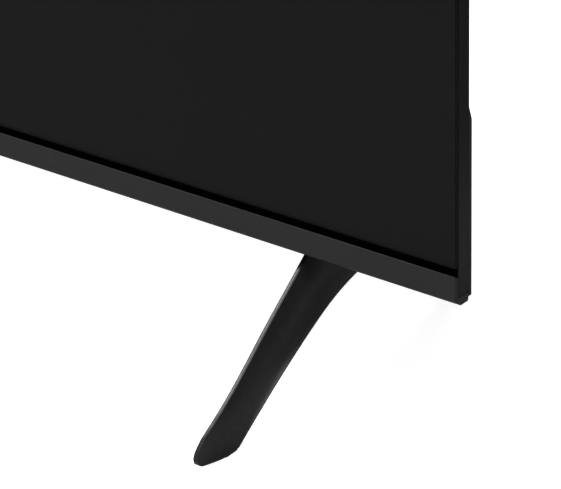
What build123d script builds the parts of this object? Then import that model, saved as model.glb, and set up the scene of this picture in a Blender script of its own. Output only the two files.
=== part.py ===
from build123d import *
import math
import os

# Sizes are in millimetres. X runs to the right as seen from the front, the screen faces -Y,
# and Z is up from the surface that the feet stand on. Pieces are placed by their depth behind
# the bezel's face and their height above the bezel's bottom edge.

# Picture, glass and edge trim
active_width = 941.2
active_height = 529.4
glass_margin = 7.5
glass_thickness = 1.3
screen_recess = 1.75
trim_wall = 1.4
trim_corner_radius = 2.0
trim_edge_fillet = 0.35
mitre_reach = 60.0
edge_depth = 9.95
bezel_back_gap = 0.25
fit_gap = 0.2
overrun = 5.0

# Bottom bezel and the black strip over it
bezel_height = 12.45
bezel_wall = 1.35
bezel_floor = 2.6
bezel_lip = 0.35
bezel_top_fillet = 0.25
bezel_end_chamfer = 0.7
bezel_corner_cut = 0.6
keel_drop = 2.75
keel_front = 3.5
keel_front_fillet = 1.2
keel_back_fillet = 0.7
seam_height = 1.6
seam_gap = 0.45
strip_height = 3.1
strip_inset = 0.3
strip_tuck = 2.0
bezel_rib_count = 12
bezel_rib_width = 1.2

# Middle frame and optical stack
glass_bottom = 4.0
frame_bottom = 3.2
frame_wall = 1.8
frame_ledge = 1.2
ledge_reach = 7.0
film_thickness = 0.3
plate_thickness = 1.55
plate_gap = 0.4

# Pressed steel back tray
sheet = 1.0
tray_flange = 8.5
tray_slope_run = 28.0
tray_depth = 27.0
tray_corner_radius = 12.0
bead_height = 2.0
bead_width = 16.0
bead_length = 620.0
bead_height_shares = (0.66, 0.76, 0.86)

# Backlight
led_strip_width = 16.0
led_strip_inset = 44.6
led_strip_length = active_width - 2 * led_strip_inset
led_strip_thickness = 1.0
led_row_shares = (0.2, 0.5, 0.8)
led_count = 7
lens_radius = 7.5
lens_top_radius = 4.4
lens_height = 4.8
lens_sides = 12
reflector_thickness = 0.4
reflector_hole_gap = 1.0

# Boards
board_thickness = 1.6
board_lift = 8.0
standoff_radius = 3.2
standoff_inset = 6.0
source_board_length = 660.0
source_board_thickness = 1.0
source_board_height = 1.4
cof_count = 6
cof_width = 34.0
cof_thickness = 0.3
tcon_lift = 4.2
tcon_x = (-46.0, 46.0)
tcon_height = (44.0, 84.0)
tcon_thickness = 1.2
tcon_chip = 16.0
tcon_chip_height = 1.4
ribbon_width = 40.0
ribbon_thickness = 0.3
ribbon_lap = 12.0
main_x = (-205.0, -60.0)
main_height = (104.0, 254.0)
power_x = (60.0, 205.0)
power_height = (108.0, 240.0)
wifi_x = (-18.0, 18.0)
wifi_height = (120.0, 146.0)
wifi_lift = 6.0
wifi_can = 14.0
wifi_can_height = 2.0
main_fin_count = 7
main_fin_height = 12.0
main_fin_thickness = 1.4
main_sink_size = 38.0
main_sink_base = 2.5
power_fin_count = 5
power_sink_width = 44.0
power_sink_height = 26.0
power_sink_depth = 14.0
transformer_size = (36.0, 22.0, 32.0)
core_window_shares = (0.25, 0.75)
core_post_shares = (0.36, 0.64)
winding_shares = (0.16, 0.84)
transformer_winding_radius = 9.5
capacitor_radius = 9.0
capacitor_length = 24.0
capacitor_pitch = 24.0
capacitor_count = 3

# Sockets on the main board, with their centres as heights on the board
socket_reach = 12.0
socket_wall = 0.55
hdmi_mouth = (13.9, 4.45)
hdmi_centres = (172.0, 190.0, 208.0)
usb_mouth = (12.5, 5.1)
usb_centres = (139.0, 155.0)
lan_mouth = (11.7, 8.2)
lan_wall = 1.6
lan_centre = 121.0
jack_bore_radius = 1.8
jack_width = 8.0
jack_centre = 223.0
aerial_radius = 4.8
aerial_bore_radius = 3.6
aerial_pin_radius = 0.5
aerial_centre = 239.0
aerial_foot = 12.0
aerial_proud = 10.0
aerial_window_gap = 1.2
socket_proud = 0.3

# Power inlet, a two-pin figure of eight
inlet_lobe_radius = 4.2
inlet_lobe_pitch = 7.4
inlet_cavity = 10.0
inlet_body = (25.0, 15.0, 20.0)
inlet_pin_radius = 1.2
inlet_pin_pitch = 8.6
inlet_pin_length = 8.0
inlet_centre = 146.0

# Moulded rear cover
cover_wall = 2.2
cover_drop = 0.7
lip_depth = 2.1
lip_height = 85.4
shoulder_rise = 6.4
band_depth = 60.0
band_end_run = 60.0
band_top = 48.0
band_foot_bevel = 3.0
band_corner_radius = 10.0
hump_depth = 74.0
hump_front_depth = 20.0
hump_half_width = 302.0
hump_front_top = 352.0
hump_top = 320.0
hump_side_run = 34.0
hump_bottom = 6.0
hump_corner_radius = 16.0
bay_wall_x = 214.0
bay_depth = 33.0
side_bay_height = (108.0, 249.0)
inlet_bay_height = (122.0, 170.0)
vent_slot = (3.0, 26.0)
vent_pitch = 9.0
vent_count = 30
vent_height = 262.0
low_vent_count = 20
low_vent_height = 64.0
rib_thickness = 1.6
rib_height = 6.0
cover_rib_shares = (-0.45, 0.45)
grille_slot = (2.6, 17.0)
grille_pitch = 6.5
grille_count = 11
cover_boss_radius = 4.6
cover_boss_offset = 17.0
cover_boss_height = 24.0
hump_boss_x = 234.0
hump_boss_heights = (57.0, 300.0)

# Wall-mount inserts, M6 on a 200 mm square
vesa_pitch = 200.0
vesa_bottom = 96.0
vesa_hole_radius = 3.0
vesa_hole_depth = 18.0
vesa_radius = 8.0
vesa_flange_radius = 12.0
vesa_flange = 3.0

# Screws
screw_head_radius = 3.6
screw_head_height = 2.0
screw_shank_radius = 1.5
screw_length = 9.0
screw_recess = 1.0
screw_gap = 0.25

# Speakers
speaker_length = 128.0
speaker_inset = 129.5
speaker_depth = (29.0, 54.6)
speaker_height = 36.0
speaker_wall = 1.8
driver_length = 72.0
driver_width = 20.0
driver_plate = 1.2
driver_lip = 3.0
cone_depth = 5.0
magnet_radius = 9.5
magnet_height = 9.0

# Sensor pod under the bezel's centre
pod_length = 48.0
pod_depth = 13.6
pod_front = 1.4
pod_height = 7.2
pod_wall = 1.4
pod_side_wall = 1.9
pod_step = 2.1
pod_corner_radius = 4.0
lens_width = 18.0
lens_slot_height = 3.2
lens_thickness = 1.9
control_board_thickness = 1.0
switch_size = 6.0
switch_height = 2.0
button_radius = 3.4
button_gap = 0.3
button_proud = 0.8
button_flange = 0.9
button_flange_radius = 4.2
button_travel = 0.6
button_offset = 13.0

# Feet: the blade's edges are points along the foot and below the bezel's bottom edge
foot_inset = 93.6
foot_toe_out = 2.5
foot_root_depth = 28.0
foot_height = 81.4
front_reach = 108.6
rear_reach = 123.3
toe_rise = 17.3
toe_run = 18.4
heel_rise = 7.6
heel_run = 10.0
nose_half = 1.05
nose_crown = 0.15
blade_thickness_shares = (0.30, 0.60, 0.88, 0.98, 1.06, 1.16, 1.22, 1.16, 1.06, 0.98, 0.90, 0.66, 0.40)
blade_half = 6.2
swell_share = 0.45
swell_thickness_share = 0.94
turn_share = 0.75
turn_thickness_share = 0.8
toe_shares = (
    (0.507, 1.0), (0.365, 0.838), (0.177, 0.642), (0.087, 0.509), (0.057, 0.399), (0.075, 0.285),
    (0.141, 0.178), (0.290, 0.127), (0.478, 0.088), (0.707, 0.045), (1.0, 0.0),
)
heel_curve_shares = (0.65, 0.316)
outer_edge_shares = (
    (-1.069, -0.934), (-0.851, -0.751), (-0.647, -0.566), (-0.429, -0.345), (-0.219, -0.140),
    (-0.027, 0.050), (0.145, 0.135), (0.308, 0.037), (0.453, -0.141), (0.603, -0.317), (0.755, -0.485),
    (0.971, -0.731), (1.171, -0.971),
)
inner_edge_shares = (
    (-0.897, -1.214), (-0.722, -1.028), (-0.517, -0.837), (-0.274, -0.639), (-0.020, -0.467),
    (0.127, -0.404), (0.245, -0.378), (0.326, -0.396), (0.394, -0.436), (0.503, -0.538),
    (0.617, -0.657), (0.858, -0.921), (1.026, -1.143),
)
tenon_half = 8.0
tenon_height = 34.0
foot_screw_heights = (10.0, 25.0)
pad_length = 12.0
pad_width = 6.0
pad_proud = 0.6
pad_seat = 1.0
front_pad_place = -84.0
rear_pad_place = 107.3
bracket_thickness = 2.0
bracket_half = 24.0
bracket_height = (4.0, 64.0)

# Worked out from the sizes above
half = active_width / 2 + glass_margin + trim_wall
body_height = bezel_height + strip_height + active_height + glass_margin + trim_wall
lift = foot_height + pad_proud
toe_out = math.radians(foot_toe_out)
front_y = -foot_root_depth - (rear_reach - front_reach) / 2 * math.cos(toe_out)
inside = half - trim_wall - fit_gap
speaker_x = (half - speaker_inset - speaker_length, half - speaker_inset)
inside_top = body_height - trim_wall - fit_gap
ledge_depth = screen_recess + glass_thickness
film_depth = ledge_depth + frame_ledge
plate_depth = film_depth + 2 * film_thickness
rim_depth = plate_depth + plate_thickness
plate_side = inside - frame_wall - plate_gap
plate_bottom = frame_bottom + frame_wall + plate_gap
plate_top = inside_top - frame_wall - plate_gap
board_depth = tray_depth + board_lift
board_back = board_depth + board_thickness
bracket_back = tray_depth + bracket_thickness
tenon_depth = (bracket_back + fit_gap + cover_wall, band_depth - cover_wall - fit_gap / 2)


def block(x_span, depth_span, height_span):
    """Box between two X positions, two depths and two heights."""
    spans = (x_span, depth_span, height_span)
    size = [high - low for low, high in spans]
    x_mid, depth_mid, height_mid = [(low + high) / 2 for low, high in spans]
    return Pos(x_mid, front_y + depth_mid, lift + height_mid) * Box(*size)


def bar_along_x(outline, x_span):
    """Outline in depth and height, run along the screen's width."""
    plane = Plane(origin=(x_span[0], front_y, lift), x_dir=(0, 1, 0), z_dir=(1, 0, 0))
    return extrude(plane * outline, amount=x_span[1] - x_span[0], dir=plane.z_dir)


def bar_along_z(outline, height_span):
    """Outline in X and depth, run up the screen's height."""
    plane = Plane(origin=(0, front_y, lift + height_span[0]), x_dir=(1, 0, 0), z_dir=(0, 0, 1))
    return extrude(plane * outline, amount=height_span[1] - height_span[0], dir=plane.z_dir)


def bar_along_depth(outline, depth_span):
    """Outline in X and height, run from one depth to another."""
    plane = Plane(origin=(0, front_y + depth_span[1], lift), x_dir=(1, 0, 0), z_dir=(0, -1, 0))
    return extrude(plane * outline, amount=depth_span[1] - depth_span[0], dir=plane.z_dir)


def outline_of(*points):
    return Polygon(*points, align=None)


def round_corner(outline, point, radius):
    """Round the corner of a flat outline that lies at the given point."""
    corner = outline.vertices().sort_by_distance((point[0], point[1], 0))[0]
    return fillet(corner, radius)


def rod(x, height, radius, depth_span):
    """Round bar along the depth."""
    return bar_along_depth(Pos(x, height) * Circle(radius), depth_span)


def rod_across(height, depth, radius, x_span):
    """Round bar along X."""
    return bar_along_x(Pos(depth, height) * Circle(radius), x_span)


def rod_up(x, depth, radius, height_span):
    """Round bar along the height."""
    return bar_along_z(Pos(x, depth) * Circle(radius), height_span)


def rect_between(x_span, height_span):
    width = x_span[1] - x_span[0]
    height = height_span[1] - height_span[0]
    return Pos((x_span[0] + x_span[1]) / 2, (height_span[0] + height_span[1]) / 2) * Rectangle(width, height)


def bezel_section(back, top_of_floor, face_thickness):
    """Front face and keel, with the floor reaching back under the glass."""
    section = outline_of(
        (0, 0), (0, bezel_height), (face_thickness, bezel_height), (face_thickness, top_of_floor),
        (back, top_of_floor), (back, -keel_drop), (keel_front, -keel_drop),
    )
    section = round_corner(section, (back, -keel_drop), keel_back_fillet)
    section = round_corner(section, (keel_front, -keel_drop), keel_front_fillet)
    return round_corner(section, (0, bezel_height), bezel_top_fillet)


def front_bezel():
    floor_top = bezel_floor - keel_drop
    back = edge_depth - bezel_back_gap
    body = bar_along_x(bezel_section(back, floor_top, bezel_wall), (-half, half))
    for side in (-1, 1):
        span = sorted((side * (half - trim_wall), side * half))
        body += bar_along_x(bezel_section(back, seam_height, screen_recess), span)
    for side in (-1, 1):
        wedge = outline_of(
            (side * (half - bezel_end_chamfer), 0), (side * half, bezel_end_chamfer), (side * half, 0)
        )
        body -= bar_along_z(wedge, (-keel_drop - overrun, bezel_height + overrun))
        corner = outline_of(
            (side * (half - bezel_corner_cut), bezel_height), (side * half, bezel_height - bezel_corner_cut),
            (side * half, bezel_height),
        )
        body -= bar_along_depth(corner, (-overrun, edge_depth))
    pitch = 2 * (half - edge_depth) / (bezel_rib_count - 1)
    for index in range(bezel_rib_count):
        x = (index - (bezel_rib_count - 1) / 2) * pitch
        low = x - bezel_rib_width / 2
        body += block((low, low + bezel_rib_width), (bezel_wall, screen_recess), (floor_top, glass_bottom))
    return body - black_edge_strip()


def trim_ring():
    """The thin frame round both sides and the top, before it is mitred."""
    low = seam_height + seam_gap
    outer = rect_between((-half, half), (low, body_height))
    for side in (-1, 1):
        outer = round_corner(outer, (side * half, body_height), trim_corner_radius)
    inner = rect_between((-half + trim_wall, half - trim_wall), (low - overrun, body_height - trim_wall))
    ring = bar_along_depth(outer - inner, (screen_recess, edge_depth))
    front_edges = ring.edges().filter_by(Axis.Z).filter_by_position(
        Axis.Y, front_y + screen_recess - fit_gap, front_y + screen_recess + fit_gap
    )
    outer_edges = [edge for edge in front_edges if abs(edge.center().X) > half - fit_gap]
    return fillet(outer_edges, trim_edge_fillet)


def trim_region(side):
    """Half of the screen's outline beyond the mitre line."""
    reach = half + overrun
    top = body_height + overrun
    inner_x = side * (half - mitre_reach)
    return outline_of(
        (side * reach, -overrun), (side * reach, top),
        (inner_x, body_height - mitre_reach), (inner_x, -overrun),
    )


def side_trim(side):
    return trim_ring() & bar_along_depth(trim_region(side), (0, edge_depth + overrun))


def top_trim():
    body = trim_ring()
    for side in (-1, 1):
        body -= bar_along_depth(trim_region(side), (0, edge_depth + overrun))
    return body


def lcd_panel():
    return block(
        (-inside, inside), (screen_recess, screen_recess + glass_thickness), (glass_bottom, inside_top)
    )


def black_edge_strip():
    low = bezel_height - strip_tuck
    reach = half - strip_inset
    return block((-reach, reach), (bezel_lip, screen_recess), (low, bezel_height + strip_height))


def middle_frame():
    outer = rect_between((-inside, inside), (frame_bottom, inside_top))
    wall_hole = rect_between(
        (-inside + frame_wall, inside - frame_wall), (frame_bottom + frame_wall, inside_top - frame_wall)
    )
    reach = frame_wall + ledge_reach
    ledge_hole = rect_between((-inside + reach, inside - reach), (frame_bottom + reach, inside_top - reach))
    body = bar_along_depth(outer - wall_hole, (ledge_depth, edge_depth))
    return body + bar_along_depth(outer - ledge_hole, (ledge_depth, film_depth))


def optical_layer(depth, thickness):
    return block((-plate_side, plate_side), (depth, depth + thickness), (plate_bottom, plate_top))


def tray_form(shift, grow):
    """The tray's dished shape, moved along the depth and grown in its own plane."""
    faces = []
    for depth, inset in ((rim_depth + sheet, tray_flange), (tray_depth, tray_flange + tray_slope_run)):
        width = 2 * (plate_side - inset + grow)
        height = plate_top - plate_bottom - 2 * (inset - grow)
        middle = lift + (plate_top + plate_bottom) / 2
        plane = Plane(origin=(0, front_y + depth + shift, middle), x_dir=(1, 0, 0), z_dir=(0, 1, 0))
        faces.append(plane * RectangleRounded(width, height, tray_corner_radius))
    return loft(faces)


def bead(height, radius, shift):
    """Long shallow bead pressed out of the tray's floor."""
    front = tray_depth - sheet + shift
    slot = Pos(0, height) * SlotOverall(bead_length + 2 * radius, 2 * radius)
    return bar_along_depth(slot, (front, tray_depth + bead_height + shift))


def back_panel():
    flange = rect_between((-plate_side, plate_side), (plate_bottom, plate_top))
    body = bar_along_depth(flange, (rim_depth, rim_depth + sheet)) + tray_form(0, 0)
    heights = [share * body_height for share in bead_height_shares]
    for height in heights:
        body += bead(height, bead_width / 2, 0)
    body -= tray_form(-sheet, 0)
    for height in heights:
        body -= bead(height, bead_width / 2 - sheet, -sheet)
    return body


def led_rows():
    return [share * body_height for share in led_row_shares]


def led_places():
    pitch = led_strip_length / led_count
    return [(index - (led_count - 1) / 2) * pitch for index in range(led_count)]


def led_strip(height):
    back = tray_depth - sheet
    half_width = led_strip_width / 2
    return block(
        (-led_strip_length / 2, led_strip_length / 2), (back - led_strip_thickness, back),
        (height - half_width, height + half_width),
    )


def led_lens():
    """Faceted cap that spreads one LED's light, standing on XY."""
    foot_face = RegularPolygon(lens_radius, lens_sides)
    top_face = Pos(0, 0, lens_height) * RegularPolygon(lens_top_radius, lens_sides)
    return loft([foot_face, top_face])


def led_lenses():
    base = tray_depth - sheet - led_strip_thickness
    lenses = []
    for height in led_rows():
        for x in led_places():
            seat = Plane(origin=(x, front_y + base, lift + height), x_dir=(1, 0, 0), z_dir=(0, -1, 0))
            lenses.append(seat * led_lens())
    return Compound(children=lenses)


def reflector_sheet():
    gap = led_strip_thickness
    body = tray_form(-sheet - gap, 0) - tray_form(-sheet - gap - reflector_thickness, 0)
    body -= block((-half, half), (0, rim_depth), (0, body_height))
    reach = lens_radius + reflector_hole_gap
    holes = [
        block((x - reach, x + reach), (rim_depth, tray_depth), (height - reach, height + reach))
        for height in led_rows() for x in led_places()
    ]
    return body - holes


def source_board():
    low = source_board_height
    return block(
        (-source_board_length / 2, source_board_length / 2), (screen_recess, edge_depth - fit_gap * 2),
        (low, low + source_board_thickness),
    )


def cof_films():
    pitch = source_board_length / cof_count
    films = []
    for index in range(cof_count):
        low = (index - (cof_count - 1) / 2) * pitch - cof_width / 2
        depth = screen_recess + glass_thickness / 2
        films.append(block(
            (low, low + cof_width), (depth, depth + cof_thickness),
            (source_board_height + source_board_thickness, glass_bottom),
        ))
    return Compound(children=films)


def tcon_board():
    depth = tray_depth + tcon_lift
    board = block(tcon_x, (depth, depth + tcon_thickness), tcon_height)
    middle = (tcon_height[0] + tcon_height[1]) / 2
    back = depth + tcon_thickness
    return board + block(
        (-tcon_chip / 2, tcon_chip / 2), (back, back + tcon_chip_height),
        (middle - tcon_chip / 2, middle + tcon_chip / 2),
    )


def tcon_ribbon():
    """Flat cable from the timing board down and forward to the panel's driver board."""
    half_width = ribbon_width / 2
    low = source_board_height + source_board_thickness
    depth = tray_depth + tcon_lift
    top = tcon_height[0] + ribbon_lap
    down = block((-half_width, half_width), (depth - ribbon_thickness, depth), (low, top))
    forward = block(
        (-half_width, half_width), (edge_depth - ribbon_lap / 2, depth), (low, low + ribbon_thickness)
    )
    return down + forward


def circuit_board(x_span, height_span):
    return block(x_span, (board_depth, board_back), height_span)


def corner_places(x_span, height_span):
    xs = (x_span[0] + standoff_inset, x_span[1] - standoff_inset)
    heights = (height_span[0] + standoff_inset, height_span[1] - standoff_inset)
    return [(x, height) for x in xs for height in heights]


def hex_post(x, height, radius, depth_span):
    return bar_along_depth(Pos(x, height) * RegularPolygon(radius, 6), depth_span)


def board_standoffs():
    """Hexagonal posts: four under each large board, two under each small one."""
    posts = []
    for x, height in corner_places(main_x, main_height) + corner_places(power_x, power_height):
        posts.append(hex_post(x, height, standoff_radius, (tray_depth, board_depth)))
    for x, height in corner_places(tcon_x, tcon_height)[1::2]:
        posts.append(hex_post(x, height, standoff_radius, (tray_depth, tray_depth + tcon_lift)))
    for x, height in corner_places(wifi_x, wifi_height)[::3]:
        posts.append(hex_post(x, height, standoff_radius, (tray_depth, tray_depth + wifi_lift)))
    return Compound(children=posts)


def finned_sink(x_mid, height_low, width, height, base, fin_count, fin_height, fin):
    """Aluminium sink standing off a board, with upright fins."""
    left = x_mid - width / 2
    heights = (height_low, height_low + height)
    body = block((left, left + width), (board_back, board_back + base), heights)
    pitch = (width - fin) / (fin_count - 1)
    for index in range(fin_count):
        low = left + index * pitch
        body += block((low, low + fin), (board_back, board_back + fin_height), heights)
    return body


def main_heatsink():
    middle = (main_x[0] + main_x[1]) / 2
    low = (main_height[0] + main_height[1] - main_sink_size) / 2
    return finned_sink(
        middle, low, main_sink_size, main_sink_size, main_sink_base,
        main_fin_count, main_fin_height, main_fin_thickness,
    )


def power_heatsink():
    low = power_height[1] - standoff_inset * 2 - power_sink_height
    return finned_sink(
        power_x[0] + power_sink_width, low, power_sink_width, power_sink_height, main_sink_base,
        power_fin_count, power_sink_depth, main_fin_thickness,
    )


def power_transformer():
    """Ferrite core with its winding round the middle post."""
    width, depth, height = transformer_size
    x_low = (power_x[0] + power_x[1]) / 2
    low = power_height[0] + standoff_inset * 2
    back = board_back + depth
    core = block((x_low, x_low + width), (board_back, back), (low, low + height))
    window_span = [x_low + share * width for share in core_window_shares]
    post_span = [x_low + share * width for share in core_post_shares]
    winding_span = [low + share * height for share in winding_shares]
    window = block(window_span, (board_back, back + overrun), (low - overrun, low + height + overrun))
    post = block(post_span, (board_back, back), (low, low + height))
    winding = rod_up(x_low + width / 2, board_back + depth / 2, transformer_winding_radius, winding_span)
    return core - window + post + winding


def power_capacitors():
    low = power_height[0] + standoff_inset * 2 + capacitor_radius
    cans = []
    for index in range(capacitor_count):
        height = low + index * capacitor_pitch
        cans.append(rod(
            power_x[0] + capacitor_radius * 2, height, capacitor_radius,
            (board_back, board_back + capacitor_length),
        ))
    return Compound(children=cans)


def wifi_module():
    depth = tray_depth + wifi_lift
    board = block(wifi_x, (depth, depth + tcon_thickness), wifi_height)
    middle = (wifi_height[0] + wifi_height[1]) / 2
    back = depth + tcon_thickness
    can = block(
        (-wifi_can / 2, wifi_can / 2), (back, back + wifi_can_height),
        (middle - wifi_can / 2, middle + wifi_can / 2),
    )
    return board + can


def socket_span():
    """Where the side sockets lie along X: their mouths are flush with the bay's wall."""
    return (-bay_wall_x - socket_proud, -bay_wall_x + socket_reach)


def socket_shell(mouth, wall, centre):
    """Box socket lying on the main board, open towards the bay."""
    width, depth = mouth
    low, high = socket_span()
    middle = board_back + wall + depth / 2
    shell = block(
        (low, high), (board_back, board_back + depth + 2 * wall),
        (centre - width / 2 - wall, centre + width / 2 + wall),
    )
    mouth_space = block(
        (low - overrun, high - wall * 2), (middle - depth / 2, middle + depth / 2),
        (centre - width / 2, centre + width / 2),
    )
    return shell - mouth_space


def hdmi_sockets():
    return Compound(children=[socket_shell(hdmi_mouth, socket_wall, centre) for centre in hdmi_centres])


def usb_sockets():
    return Compound(children=[socket_shell(usb_mouth, socket_wall, centre) for centre in usb_centres])


def lan_socket():
    return socket_shell(lan_mouth, lan_wall, lan_centre)


def headphone_jack():
    low, high = socket_span()
    middle = board_back + jack_width / 2
    body = block(
        (low, high), (board_back, board_back + jack_width),
        (jack_centre - jack_width / 2, jack_centre + jack_width / 2),
    )
    return body - rod_across(jack_centre, middle, jack_bore_radius, (low - overrun, high + overrun))


def antenna_socket():
    low, high = socket_span()
    middle = board_back + aerial_foot / 2
    can = block(
        (-bay_wall_x + cover_wall + fit_gap, high), (board_back, board_back + aerial_foot),
        (aerial_centre - aerial_foot / 2, aerial_centre + aerial_foot / 2),
    )
    barrel = rod_across(aerial_centre, middle, aerial_radius, (low - aerial_proud, high))
    bore = rod_across(aerial_centre, middle, aerial_bore_radius, (low - aerial_proud - overrun, low))
    pin = rod_across(aerial_centre, middle, aerial_pin_radius, (low - aerial_proud / 2, high))
    return can + barrel - bore + pin


def power_inlet():
    """Block with the figure of eight cavity, open towards its bay."""
    height, depth, length = inlet_body
    outer = bay_wall_x + socket_proud
    middle = board_back + depth / 2
    body = block(
        (outer - length, outer), (board_back, board_back + depth),
        (inlet_centre - height / 2, inlet_centre + height / 2),
    )
    cavity = Circle(inlet_lobe_radius)
    lobes = (
        Pos(middle, inlet_centre - inlet_lobe_pitch / 2) * cavity
        + Pos(middle, inlet_centre + inlet_lobe_pitch / 2) * cavity
        + Pos(middle, inlet_centre) * Rectangle(2 * inlet_lobe_radius, inlet_lobe_pitch)
    )
    body -= bar_along_x(lobes, (outer - inlet_cavity, outer + overrun))
    for side in (-1, 1):
        height_of_pin = inlet_centre + side * inlet_pin_pitch / 2
        body -= rod_across(height_of_pin, middle, inlet_pin_radius, (outer - length - overrun, outer))
    return body


def inlet_pins():
    outer = bay_wall_x + socket_proud
    middle = board_back + inlet_body[1] / 2
    pins = []
    for side in (-1, 1):
        height = inlet_centre + side * inlet_pin_pitch / 2
        span = (outer - inlet_body[2], outer - inlet_cavity + inlet_pin_length)
        pins.append(rod_across(height, middle, inlet_pin_radius, span))
    return Compound(children=pins)


def band_form(inset):
    """Lower housing across the whole width, drawn in by a wall."""
    side = half - inset
    back = band_depth - inset
    lip = edge_depth + lip_depth - inset
    front = edge_depth if inset == 0 else edge_depth - lip_depth
    run = band_end_run
    plan = outline_of(
        (-side, front), (side, front), (side, max(lip, front + fit_gap)), (side - run, back),
        (-side + run, back), (-side, max(lip, front + fit_gap)),
    )
    for end in (-1, 1):
        plan = round_corner(plan, (end * (side - run), back), band_corner_radius)
    bottom = -cover_drop + inset
    slope = (lip_height - band_top) / (band_depth - edge_depth - lip_depth)
    profile = outline_of(
        (front, bottom), (back - band_foot_bevel, bottom), (back, bottom + band_foot_bevel),
        (back, band_top - inset), (edge_depth + lip_depth, lip_height - inset * (1 + slope)),
        (front, lip_height + shoulder_rise - inset * 2),
    )
    profile = round_corner(profile, (back, band_top - inset), band_corner_radius / 2)
    low = -cover_drop - overrun
    return bar_along_x(profile, (-half, half)) & bar_along_z(plan, (low, lip_height + band_depth))


def hump_form(inset):
    """Central housing over the boards, drawn in by a wall."""
    faces = []
    stations = (
        (hump_front_depth, hump_half_width, hump_front_top),
        (hump_depth - inset, hump_half_width - hump_side_run, hump_top),
    )
    for depth, half_width, top in stations:
        bottom = hump_bottom + inset
        height = top - inset - bottom
        middle = lift + bottom + height / 2
        plane = Plane(origin=(0, front_y + depth, middle), x_dir=(1, 0, 0), z_dir=(0, 1, 0))
        faces.append(plane * RectangleRounded(2 * (half_width - inset), height, hump_corner_radius))
    return loft(faces)


def bay_space(side, height_span, grow):
    """Recess at the hump's side, where cables are plugged in."""
    low = bay_wall_x - grow
    high = hump_half_width + overrun
    span = sorted((side * low, side * high))
    depths = (bay_depth - grow, hump_depth + overrun)
    return block(span, depths, (height_span[0] - grow, height_span[1] + grow))


def foot_axis_x(depth):
    """Middle of the foot's blade at a depth, on the right side."""
    return half - foot_inset - nose_half - (depth - foot_root_depth) * math.tan(toe_out)


def tenon_block(side, grow, height_low):
    middle = foot_axis_x((tenon_depth[0] + tenon_depth[1]) / 2)
    span = sorted((side * (middle - tenon_half - grow), side * (middle + tenon_half + grow)))
    depths = (tenon_depth[0] - grow, tenon_depth[1] + grow)
    return block(span, depths, (height_low, tenon_height + grow))


def speaker_span(side):
    return sorted((side * speaker_x[0], side * speaker_x[1]))


def cover_screw_places():
    """X, height, seat depth and the depth of the metal behind, for each screw of the cover."""
    middle = foot_axis_x((tenon_depth[0] + tenon_depth[1]) / 2)
    places = []
    for side in (-1, 1):
        for offset in (-cover_boss_offset, cover_boss_offset):
            places.append((side * (middle + offset), cover_boss_height, band_depth, bracket_back))
        for height in hump_boss_heights:
            places.append((side * hump_boss_x, height, hump_depth, tray_depth))
    return places


def cover_bosses():
    """Tubes from the cover's rear wall to the metal that its screws go into."""
    bosses = []
    for x, height, seat, metal in cover_screw_places():
        bosses.append(rod(x, height, cover_boss_radius, (metal + fit_gap / 2, seat - cover_wall / 2)))
    return bosses


def socket_windows():
    """Openings in the bay walls that the sockets stand in."""
    cut = (-bay_wall_x - overrun, -bay_wall_x + cover_wall + overrun)
    windows = []
    groups = [(hdmi_mouth, socket_wall, centre) for centre in hdmi_centres]
    groups += [(usb_mouth, socket_wall, centre) for centre in usb_centres]
    groups += [(lan_mouth, lan_wall, lan_centre)]
    for (width, depth), wall, centre in groups:
        reach = width / 2 + wall + fit_gap
        windows.append(block(
            cut, (board_back - fit_gap, board_back + depth + 2 * wall + fit_gap),
            (centre - reach, centre + reach),
        ))
    reach = jack_width / 2 + fit_gap
    windows.append(block(
        cut, (board_back - fit_gap, board_back + jack_width + fit_gap),
        (jack_centre - reach, jack_centre + reach),
    ))
    windows.append(rod_across(
        aerial_centre, board_back + aerial_foot / 2, aerial_radius + aerial_window_gap, cut
    ))
    height, depth, length = inlet_body
    windows.append(block(
        (bay_wall_x - cover_wall - overrun, bay_wall_x + overrun),
        (board_back - fit_gap, board_back + depth + fit_gap),
        (inlet_centre - height / 2 - fit_gap, inlet_centre + height / 2 + fit_gap),
    ))
    return windows


def vent_slots():
    """Upright slots in the hump's rear face, high and low."""
    slots = []
    rows = ((vent_count, vent_height), (low_vent_count, low_vent_height))
    for count, height in rows:
        for index in range(count):
            x = (index - (count - 1) / 2) * vent_pitch
            slot = Pos(x, height) * Rectangle(vent_slot[0], vent_slot[1])
            slots.append(bar_along_depth(slot, (hump_depth - cover_wall - overrun, hump_depth + overrun)))
    return slots


def grille_slots(side):
    middle = (speaker_x[0] + speaker_x[1]) / 2
    depth = (speaker_depth[0] + speaker_depth[1]) / 2
    slots = []
    for index in range(grille_count):
        x = side * middle + (index - (grille_count - 1) / 2) * grille_pitch
        slot = Pos(x, depth) * Rectangle(grille_slot[0], grille_slot[1])
        slots.append(bar_along_z(slot, (-cover_drop - overrun, cover_wall + fit_gap)))
    return slots


def cover_ribs(inner):
    """Stiffening ribs across the inside of the hump's rear wall."""
    ribs = []
    for share in cover_rib_shares:
        x = share * hump_half_width
        span = (x - rib_thickness / 2, x + rib_thickness / 2)
        back = hump_depth - cover_wall
        ribs.append(block(span, (back - rib_height, back), (hump_bottom + cover_wall, hump_top)) & inner)
    return ribs


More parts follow.
